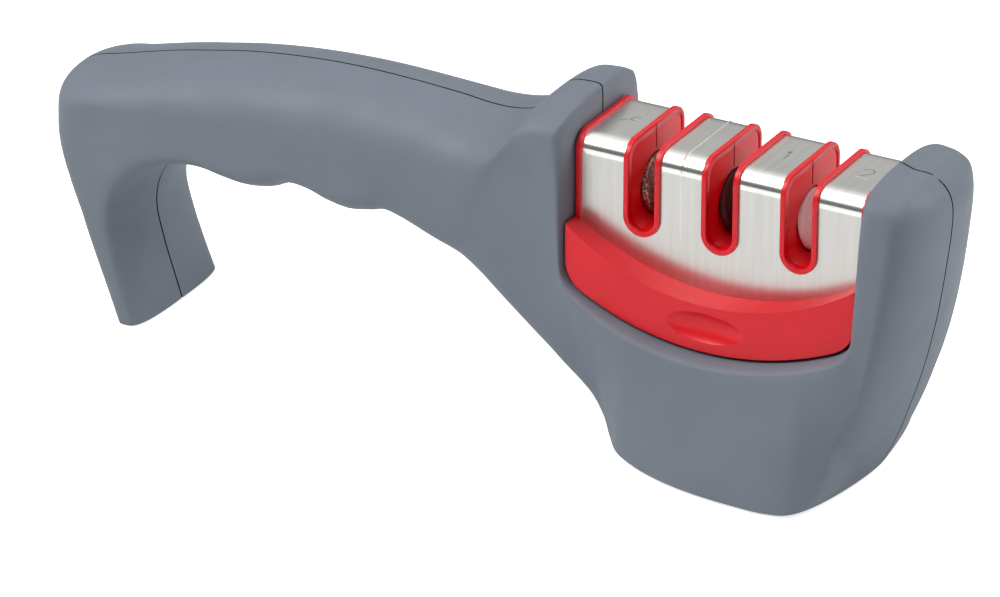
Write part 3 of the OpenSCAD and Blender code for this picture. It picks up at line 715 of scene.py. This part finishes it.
# The sheet runs below the ledge's lowest place and is then cut along the ledge
COVER_LOW_Z = LEDGE_LOW_Z - 1
LEDGE_SEGMENTS, SHEET_COLUMNS = 512, 14
WELD_M = 1e-6
COVER_CREASE = 20
# The bead on the second land: its ends slope, and on the cover's sides its left flank is painted pale as a
# highlight
BEAD_HALF, BEAD_HEIGHT, BEAD_LOW_Z = 0.21, 0.13, 52.8
BEAD_SLOPE, BEAD_SLACK = 0.3, 0.1
BEAD_X = (SLOT_XS[0] + SLOT_XS[1]) / 2
BEND_END = ROOF_HALF + SHOULDER_LEN
BEAD_HIGHLIGHT_START = ROOF_HALF + SHOULDER_LEN * 0.9


def on_cover(flat, outwards):
    """(y, z) and the outward normal of a place on the cover. flat is the
    distance from the middle of the roof along the sheet, front side negative."""
    side = -1 if flat < 0 else 1
    d = abs(flat)
    if d <= ROOF_HALF:
        y, z, ny, nz = d, ROOF_Z, 0, 1
    elif d <= BEND_END:
        a = (d - ROOF_HALF) / SHOULDER_R
        ny, nz = math.sin(a), math.cos(a)
        y, z = ROOF_HALF + SHOULDER_R * ny, SHOULDER_Z + SHOULDER_R * nz
    else:
        y, z, ny, nz = COVER_W / 2, SHOULDER_Z - (d - ROOF_HALF - SHOULDER_LEN), 1, 0
    return side * (y + ny * outwards), z + nz * outwards, side * ny, nz


def flat_of_z(z):
    """Distance along the sheet from the roof's middle to a height on a side face."""
    return ROOF_HALF + SHOULDER_LEN + SHOULDER_Z - z


def spaced(start, length, count):
    """Evenly spaced places from start on, the far end left out."""
    return [start + length * k / count for k in range(count)]


def over_the_bend(roof_steps, bend_steps):
    """Distances from the middle of the roof almost to the foot of the bend."""
    return spaced(0, ROOF_HALF, roof_steps) + spaced(ROOF_HALF, SHOULDER_LEN, bend_steps)


def mirrored(half):
    """The same distances on both sides of the roof's middle."""
    return [-h for h in reversed(half)][:-1] + half


def slot_half(flat):
    """Half the width of the cut in the sheet at a distance along it, or 0."""
    end = flat_of_z(SLOT_Z)
    over = abs(flat) - end
    if over <= 0:
        return SLOT_EDGE
    return math.sqrt(max(0.0, SLOT_EDGE ** 2 - over ** 2))


def cover_stops():
    """Distances along the sheet, close together where it bends or is cut."""
    end, low = flat_of_z(SLOT_Z), flat_of_z(COVER_LOW_Z)
    bead, tail = flat_of_z(BEAD_LOW_Z), end + SLOT_EDGE
    half = over_the_bend(roof_steps=6, bend_steps=16)
    half += spaced(BEND_END, end - BEND_END, count=8)
    half += [end + SLOT_EDGE * math.sin(a) for a in spaced(0, math.pi / 2, count=16)]
    half += [bead - BEAD_SLOPE, bead]
    half += spaced(tail, low - tail, count=6) + [low]
    return mirrored(sorted(set(round(h, 4) for h in half)))


def sheet_grid():
    """The flat sheet's places as (x, distance along it, raised), its faces, and the numbers of the faces on
    the bead's flank that is painted pale as a highlight."""
    stops, bead_end = cover_stops(), flat_of_z(BEAD_LOW_Z)
    middle, width = SHEET_COLUMNS // 2, SHEET_COLUMNS + 1
    edges = [CART_X - COVER_HALF] + SLOT_XS + [CART_X + COVER_HALF]
    places, faces, highlight_faces = [], [], set()
    for land in range(len(edges) - 1):
        base = len(places)
        left, right = edges[land], edges[land + 1]
        has_bead = left < BEAD_X < right
        for s in stops:
            half = slot_half(s)
            x0 = left + (half if land > 0 else 0)
            x1 = right - (half if land < len(SLOT_XS) else 0)
            xs = [x0 + (x1 - x0) * (c / SHEET_COLUMNS) for c in range(width)]
            if has_bead:
                xs[middle - 1:middle + 2] = BEAD_X - BEAD_HALF, BEAD_X, BEAD_X + BEAD_HALF
            for c, x in enumerate(xs):
                on_bead = has_bead and c == middle and abs(s) < bead_end - BEAD_SLACK
                places.append((x, s, BEAD_HEIGHT if on_bead else 0))
        for r in range(len(stops) - 1):
            near, far = sorted((abs(stops[r]), abs(stops[r + 1])))
            on_side = near > BEAD_HIGHLIGHT_START and far < bead_end + BEAD_SLACK
            for c in range(SHEET_COLUMNS):
                a = base + r * width + c
                if has_bead and c == middle - 1 and on_side:
                    highlight_faces.add(len(faces))
                faces.append([a, a + 1, a + width + 1, a + width])
    return places, faces, highlight_faces


def build_cover():
    """Wraps the flat sheet over the insert, thickens it and trims its lower edges."""
    places, faces, highlight_faces = sheet_grid()
    points = [(x, *on_cover(s, raised)[:2]) for x, s, raised in places]
    mesh = bmesh.new()
    flat_map = mesh.loops.layers.uv.new(SHEET_MAP)
    verts = [mesh.verts.new([c * MM for c in p]) for p in points]
    for number, face in enumerate(faces):
        made = mesh.faces.new([verts[i] for i in face])
        made.smooth = True
        # Faces on the bead's flank take the pale painted highlight
        made.material_index = 1 if number in highlight_faces else 0
        for loop, i in zip(made.loops, face):
            loop[flat_map].uv = places[i][:2]
    bmesh.ops.remove_doubles(mesh, verts=mesh.verts, dist=WELD_M)
    bmesh.ops.dissolve_degenerate(mesh, edges=mesh.edges, dist=WELD_M)
    data = bpy.data.meshes.new("cover_sheet")
    mesh.to_mesh(data)
    mesh.free()
    obj = bpy.data.objects.new("cover_sheet", data)
    data.materials.append(STEEL)
    data.materials.append(BEAD_PAINTED_HIGHLIGHT)
    bpy.context.collection.objects.link(obj)
    outward(obj)
    thick = obj.modifiers.new("sheet", "SOLIDIFY")
    thick.thickness, thick.offset, thick.use_even_offset = COVER_T * MM, -1, True
    apply_modifiers(obj)
    ledge = [(-COVER_W, LEDGE_R), (COVER_W, LEDGE_R)]
    centre = (CART_X, 0, LEDGE_LOW_Z + LEDGE_R)
    carve(obj, [lathe(ledge, centre, (0, 1, 0), LEDGE_SEGMENTS)], "INTERSECT")
    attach(obj, "sharpening_head")
    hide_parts("steel_cover")
    sharpen(obj, COVER_CREASE)


build_cover()


# Red lips round the slots and rims at the cover's two ends
LIP_DEEP, LIP_ROUND, LIP_ROUND_STEPS = 1.0, 0.32, 5
# The lips cover the CAD's liner walls by a hair
LIP_HALF, LIP_TOP = LINER_T / 2 + 0.04, LIP_PROUD + 0.03
RIM_ABOVE_CORNER, RIM_BELOW_BEND, RIM_CREASE = 8, 6, 50


def lip_profile():
    """Cross-section of a lip: (sideways, outwards), round on top."""
    out = [(-LIP_HALF, -LIP_DEEP)]
    for cx, start in ((-LIP_HALF + LIP_ROUND, math.pi), (LIP_HALF - LIP_ROUND, math.pi / 2)):
        for a in (start - q for q in quarter(LIP_ROUND_STEPS)):
            out.append((cx + LIP_ROUND * math.cos(a), LIP_TOP - LIP_ROUND + LIP_ROUND * math.sin(a)))
    out.append((LIP_HALF, -LIP_DEEP))
    return out


def sweep(stations, closed):
    """A tube of lip profiles. Each station is (point, sideways, outwards)."""
    profile = lip_profile()
    n = len(profile)
    points = []
    for point, sideways, outwards in stations:
        points += [point + sideways * a + outwards * b for a, b in profile]
    faces = []
    count = len(stations)
    for i in range(count if closed else count - 1):
        p, q = i * n, (i + 1) % count * n
        faces += [[p + j, q + j, q + (j + 1) % n, p + (j + 1) % n] for j in range(n)]
    if not closed:
        faces += [list(range(n))[::-1], [(count - 1) * n + j for j in range(n)]]
    return points, faces


def slot_loop(slot_x):
    """Stations round one slot's cut: down its front, under, up, over the roof
    and the same behind."""
    r = SLOT_W / 2 + LINER_T / 2
    end = flat_of_z(SLOT_Z)
    straight = over_the_bend(roof_steps=5, bend_steps=14) + spaced(BEND_END, end - BEND_END, count=6)
    plan = [(r, s, 1, 0) for s in straight]
    plan += [(r * math.cos(a), end + r * math.sin(a), math.cos(a), math.sin(a))
             for a in spaced(0, math.pi, count=28) + [math.pi]]
    plan += [(-r, s, -1, 0) for s in reversed(straight)]
    plan += [(x, -s, kx, -ks) for x, s, kx, ks in reversed(plan[1:-1])]
    stations = []
    for x, s, kx, ks in plan:
        y, z, ny, nz = on_cover(s, 0)
        normal = Vector((0, ny, nz))
        along_sheet = Vector((0, nz, -ny))
        sideways = Vector((1, 0, 0)) * kx + along_sheet * ks
        stations.append((Vector((slot_x + x, y, z)), sideways, normal))
    return stations


def end_rim(side):
    """Stations over one end of the cover, from low on its front to low behind."""
    low = flat_of_z(CORNER_Z + RIM_ABOVE_CORNER)
    half = over_the_bend(roof_steps=4, bend_steps=14) + [BEND_END, BEND_END + RIM_BELOW_BEND, low]
    stations = []
    for s in mirrored(half):
        y, z, ny, nz = on_cover(s, 0)
        x = CART_X + side * (COVER_HALF + LINER_T / 2)
        stations.append((Vector((x, y, z)), Vector((side, 0, 0)), Vector((0, ny, nz))))
    return stations


def build_lips():
    for number, x in enumerate(SLOT_XS, 1):
        piece("slot_%d_lip" % number, *sweep(slot_loop(x), True), "sharpening_head", "red_plastic", RED)
    for name, side in (("left", -1), ("right", 1)):
        piece("end_rim_" + name, *sweep(end_rim(side), False), "sharpening_head", "red_plastic", RED,
              RIM_CREASE)


build_lips()


# The parting line of the two insert halves, seen on the slots' walls as thin strips of painted shade
PARTING_HALF, PARTING_FACE_HALF = 0.14, 0.14 * 0.6
PARTING_PROUD, PARTING_SINK, PARTING_SLANT = 0.07, 0.2, 0.2
PARTING_LOW_Z, PARTING_TOP_Z = AXLE_Z + DISC_D / 2 + 0.8, ROOF_Z + LIP_PROUD - 0.1


def strip_faces(rows):
    """The faces of a closed strip whose rows have four points each."""
    faces = []
    for k in range(rows - 1):
        a, b = 4 * k, 4 * k + 4
        faces += [[a + j, b + j, b + (j + 1) % 4, a + (j + 1) % 4] for j in range(4)]
    last = 4 * rows - 4
    return faces + [[3, 2, 1, 0], [last, last + 1, last + 2, last + 3]]


def parting_line(slot_x, side):
    """A thin upright strip on one wall, with a slanted foot and head."""
    wall = slot_x + side * (SLOT_W / 2 + PARTING_SINK)
    front = slot_x + side * (SLOT_W / 2 - PARTING_PROUD)
    rows = [(PARTING_LOW_Z, wall), (PARTING_LOW_Z + PARTING_SLANT, front),
            (PARTING_TOP_Z - PARTING_SLANT, front), (PARTING_TOP_Z, wall)]
    points = []
    for z, depth in rows:
        points += [(wall, -PARTING_HALF, z), (depth, -PARTING_FACE_HALF, z),
                   (depth, PARTING_FACE_HALF, z), (wall, PARTING_HALF, z)]
    return points, strip_faces(len(rows))


piece("parting_lines", *joined([parting_line(x, side) for x in SLOT_XS for side in (-1, 1)]),
      "sharpening_head", "red_plastic", SEAM, smooth=False)


# Stage marks stamped on the lands: thin strokes, read from the front
STROKE_W, STROKE_PROUD, STROKE_SINK = 0.42, 0.05, 0.03
# A stroke's section from edge to edge, in shares of its half width
STROKE_SECTION = ((1.15, -STROKE_SINK), (0.7, STROKE_PROUD), (-0.7, STROKE_PROUD), (-1.15, -STROKE_SINK))
MITRE_LEAST = 0.6
MARK_CREASE, ARC_STEPS = 35, 10


def stroke(path, origin, size):
    """A flat ribbon on the roof along a path given in shares of a size."""
    x0, y0 = origin
    middle = [Vector((x0 + size * x, y0 + size * y)) for x, y in path]
    points = []
    for k, p in enumerate(middle):
        before, after = middle[max(0, k - 1)], middle[min(len(middle) - 1, k + 1)]
        way = (after - before).normalized()
        across = Vector((-way.y, way.x))
        if 0 < k < len(middle) - 1:
            square = Vector((-(after - p).y, (after - p).x)).normalized()
            across *= 1 / max(MITRE_LEAST, abs(across.dot(square)))
        for side, z in STROKE_SECTION:
            edge = p + across * (side * STROKE_W / 2)
            points.append((edge.x, edge.y, ROOF_Z + z))
    return points, strip_faces(len(middle))


def arc(cx, cy, r, start, end):
    """Points on a circle from one angle in degrees to another."""
    turns = [math.radians(start + (end - start) * k / ARC_STEPS) for k in range(ARC_STEPS + 1)]
    return [(cx + r * math.cos(a), cy + r * math.sin(a)) for a in turns]


# Each mark as strokes in shares of its height, about its own middle
DIGIT_H = 4.8
MARKS = [("stage_mark_0", 0, [[(-0.42, -0.34), (-0.05, -0.02), (0.12, 0.30), (0.34, 0.46)],
                              [(0.00, 0.04), (0.20, -0.10), (0.40, -0.12)]]),
         ("stage_mark_1", 2, [[(-0.14, 0.30), (0.04, 0.46), (0.04, -0.46)]]),
         ("stage_mark_2", 3, [arc(0, 0.20, 0.26, 165, -35) + [(-0.27, -0.44), (0.29, -0.44)]])]


def land_middle(number):
    """X of the middle of the steel between two slots, or outside one."""
    edges = [CART_X - COVER_HALF]
    edges += [x + s * SLOT_EDGE for x in SLOT_XS for s in (-1, 1)] + [CART_X + COVER_HALF]
    return (edges[2 * number] + edges[2 * number + 1]) / 2


def build_marks():
    for name, land, paths in MARKS:
        solids = [stroke(path, (land_middle(land), 0), DIGIT_H) for path in paths]
        piece(name, *joined(solids), "sharpening_head", "cover_steel", STAMPED_WITH_PAINTED_SHADE, MARK_CREASE)


build_marks()


def dress(names, material, edge, harden):
    """Gives CAD nodes a material and softer edges. Their shape stays."""
    for name in names:
        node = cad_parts[name]
        node.data.materials.clear()
        node.data.materials.append(material)
        bevel(node, edge, harden)


INSERT_EDGE, PAD_EDGE = 0.18, 0.25
dress(("insert_front", "insert_rear"), RED, INSERT_EDGE, harden=False)


# Discs, axles and clips
LEAN = math.radians(DISC_LEAN)
FACE_GAP = 0.5
DISC_OFF = DISC_D / 2 * math.sin(LEAN) + FACE_GAP / 2
WASHER_T, END_PLAY, BUSH_LEN, CLIP_T, AXLE_TIP, FACE_SINK = 0.4, 0.1, 3.2, 0.5, 0.5, 0.1
BUSH_D, WASHER_D, CLIP_D, BORE_PLAY = 5, 4.4, 3.6, 0.05
# How far each piece's edges are rounded
DISC_SOFT, PIN_SOFT, CLIP_SOFT, BUSH_SOFT, WASHER_SOFT = 0.35, 0.15, 0.12, 0.2, 0.1
RING_STEPS, BAR_STEPS = 5, 4
DISC_SEGMENTS, SMALL_SEGMENTS, BUSH_SEGMENTS = 96, 40, 48
TURNED_CREASE = 40
BUSH_X = -DISC_T - WASHER_T - END_PLAY
CLIP_X = BUSH_X - BUSH_LEN - END_PLAY
AXLE_END = CLIP_X - CLIP_T - AXLE_TIP
STAGES = [("diamond", SLOT_XS[0], DIAMOND, "diamond_grit"), ("coarse", SLOT_XS[1], COARSE_PAINTED_SHADE, "coarse_grit"),
          ("ceramic", SLOT_XS[2], CERAMIC, "white_ceramic")]


def soft_side(x0, x1, r, soft, steps):
    """A turned side from x0 to x1 whose two edges are rounded."""
    return ([(x0 + soft * (1 - math.cos(q)), r - soft * (1 - math.sin(q))) for q in quarter(steps)]
            + [(x1 - soft * (1 - math.sin(q)), r - soft * (1 - math.cos(q))) for q in quarter(steps)])


def ring(x0, x1, r, soft, inner, origin, axis, segments):
    """A turned ring: its outer profile with the bore closed on itself."""
    profile = [(x0, inner)] + soft_side(x0, x1, r, soft, RING_STEPS) + [(x1, inner)]
    points, faces = lathe(profile, origin, axis, segments)
    del faces[-2:]
    n = len(profile)
    for k in range(segments):
        a, b = k * n, (k + 1) % segments * n
        faces.append([a + n - 1, b + n - 1, b, a])
    return points, faces


def bar(x0, x1, r, soft, origin, axis, segments):
    """A turned bar with rounded ends."""
    return lathe(soft_side(x0, x1, r, soft, BAR_STEPS), origin, axis, segments)


def build_discs():
    """Six turning sets, each a disc, a pin and a clip, with bushes and washers."""
    bushes, washers = [], []
    bore_r = AXLE_D / 2 + BORE_PLAY
    for stage, slot_x, grit, grit_slot in STAGES:
        for name, side in (("left", -1), ("right", 1)):
            origin = (slot_x + side * DISC_OFF, 0, AXLE_Z)
            axis = (-side * math.cos(LEAN), 0, math.sin(LEAN))
            body = "%s_%s" % (stage, name)
            wheel = ring(-DISC_T, 0, DISC_D / 2, DISC_SOFT, AXLE_D / 2, origin, axis, DISC_SEGMENTS)
            pin = bar(AXLE_END, -FACE_SINK, AXLE_D / 2, PIN_SOFT, origin, axis, SMALL_SEGMENTS)
            keeper = ring(CLIP_X - CLIP_T, CLIP_X, CLIP_D / 2, CLIP_SOFT, AXLE_D / 2, origin, axis,
                          SMALL_SEGMENTS)
            for kind, solid, slot, material, cad_kind in (
                    ("wheel", wheel, grit_slot, grit, "disc"),
                    ("pin", pin, "axle_steel", AXLE_STEEL, "axle"),
                    ("keeper", keeper, "clip_plastic", CLIP, "clip")):
                piece("%s_%s_%s" % (stage, kind, name), *solid, body, slot, material, TURNED_CREASE,
                      replaced=["%s_%s_%s" % (stage, cad_kind, name)])
            bushes.append(ring(BUSH_X - BUSH_LEN, BUSH_X, BUSH_D / 2, BUSH_SOFT, bore_r, origin, axis,
                               BUSH_SEGMENTS))
            washers.append(ring(BUSH_X, BUSH_X + WASHER_T, WASHER_D / 2, WASHER_SOFT, bore_r, origin, axis,
                                BUSH_SEGMENTS))
    piece("bush_set", *joined(bushes), "sharpening_head", "bush_brass", BRASS, TURNED_CREASE,
          replaced=["axle_bushes"])
    piece("washer_set", *joined(washers), "sharpening_head", "washer_nylon", NYLON, TURNED_CREASE,
          replaced=["thrust_washers"])


build_discs()

INSERT_SCREW_DROP, INSERT_SEAT_IN = 6, 2.2
INSERT_HEAD_D, INSERT_HEAD_T, INSERT_SHANK_D, INSERT_REACH = 3.8, 1.4, 1.7, 6.9
INSERT_SCREW_X = COVER_HALF - END_LAND / 2
INSERT_SCREW_Z = ROOF_Z - INSERT_SCREW_DROP
INSERT_SEAT_Y = COVER_W / 2 - COVER_T - COVER_GAP - INSERT_SEAT_IN
screws("insert_screw_pair", [(CART_X + s * INSERT_SCREW_X, INSERT_SEAT_Y, INSERT_SCREW_Z) for s in (-1, 1)],
       INSERT_HEAD_D, INSERT_HEAD_T, INSERT_SHANK_D, INSERT_REACH, "sharpening_head", "insert_screws")
dress(("base_pad", "leg_pad"), RUBBER, PAD_EDGE, harden=True)


# Floor, backdrop, lamps and world
def seen_rays(tree):
    """1 for camera, glossy and transmission rays, 0 for the rays that light."""
    path = add_node(tree, "LightPath", {})
    seen = path.outputs["Is Camera Ray"]
    for name in ("Is Glossy Ray", "Is Transmission Ray"):
        either = add_node(tree, "Math", {0: seen, 1: path.outputs[name]})
        either.operation = "MAXIMUM"
        seen = either.outputs["Value"]
    return seen, path.outputs["Is Glossy Ray"]


def studio_band(tree):
    """White, with the darker low wall of a studio for reflections to show."""
    place = add_node(tree, "TexCoord", {}).outputs["Generated"]
    split = add_node(tree, "SeparateXYZ", {"Vector": place})
    ramp = add_node(tree, "ValToRGB", {"Fac": split.outputs["Z"]})
    stops = ramp.color_ramp.elements
    stops[0].position, stops[1].position = BAND_TOP - BAND_SOFT, BAND_TOP + BAND_SOFT
    stops[0].color, stops[1].color = (BAND_DARK, BAND_DARK, BAND_DARK, 1), (1, 1, 1, 1)
    return ramp.outputs["Color"]


def add_world():
    """A studio of one soft light, white where it is seen and banded in gloss."""
    world = bpy.data.worlds.new("studio")
    world.use_nodes = True
    bpy.context.scene.world = world
    tree = world.node_tree
    nodes, links = tree.nodes, tree.links
    seen, glossy = seen_rays(tree)
    tint = colour_mix(tree)
    tint["A_Color"].default_value = (1, 1, 1, 1)
    links.new(glossy, tint["Factor_Float"])
    links.new(studio_band(tree), tint["B_Color"])
    white = nodes["Background"]
    links.new(tint["Result_Color"], white.inputs["Color"])
    white.inputs["Strength"].default_value = 1.0
    lit = add_node(tree, "Background", {"Color": AMBIENT_COLOUR, "Strength": AMBIENT})
    mix = add_node(tree, "MixShader", {"Fac": seen, 1: lit.outputs["Background"],
                                       2: white.outputs["Background"]})
    links.new(mix.outputs["Shader"], nodes["World Output"].inputs["Surface"])


def add_floor():
    """A pale floor that keeps the part's shadow and reads as white where it is seen."""
    points = [(0, 0, 0)] + [(STUDIO_FLOOR_R * math.cos(a), STUDIO_FLOOR_R * math.sin(a), 0)
                            for a in spaced(0, 2 * math.pi, FLOOR_STEPS)]
    faces = [[0, 1 + k, 1 + (k + 1) % FLOOR_STEPS] for k in range(FLOOR_STEPS)]
    floor = new_object("floor", points, faces)
    n = Nodes("floor_white").set(Base_Color=(0.9, 0.9, 0.9, 1), Roughness=0.9, Specular_IOR_Level=0.0)
    seen, glossy = seen_rays(n.tree)
    plain = n.shader.outputs["BSDF"]
    glow = n.add("Emission", {"Strength": n.range(glossy, FLOOR_GLOW, FLOOR_SHINE, 0, 1)})
    both = n.add("AddShader", {0: plain, 1: glow.outputs["Emission"]})
    mix = n.add("MixShader", {"Fac": seen, 1: plain, 2: both.outputs["Shader"]})
    n.link(mix.outputs["Shader"], n.tree.nodes["Material Output"].inputs["Surface"])
    floor.data.materials.append(n.material)


def add_lamp(name, azimuth, elevation, size, power):
    """A square soft lamp aimed at the part, placed by angles as the camera is."""
    back = direction(azimuth, elevation)
    lamp = bpy.data.objects.new(name, bpy.data.lights.new(name, "AREA"))
    lamp.data.shape = "SQUARE"
    lamp.data.size = size * MM
    lamp.data.energy = power
    lamp.location = (LAMP_TARGET + back * LAMP_DISTANCE) * MM
    lamp.rotation_euler = (-back).to_track_quat("-Z", "Y").to_euler()
    bpy.context.collection.objects.link(lamp)


AMBIENT, AMBIENT_COLOUR = 0.16, (0.93, 0.96, 1.0, 1)
STUDIO_FLOOR_R, FLOOR_STEPS = 1600, 48
FLOOR_GLOW, FLOOR_SHINE = 0.72, 0.25
BAND_DARK, BAND_TOP, BAND_SOFT = 0.16, 0.40, 0.07
LAMP_TARGET, LAMP_DISTANCE = Vector((0, 0, 40)), 1100
add_world()
add_floor()
add_lamp("front_left", -42, 48, size=560, power=8.0)
add_lamp("right", 125, 28, size=700, power=6.0)
add_lamp("top", 10, 82, size=800, power=2.8)

bpy.context.scene.view_settings.view_transform = "Standard"
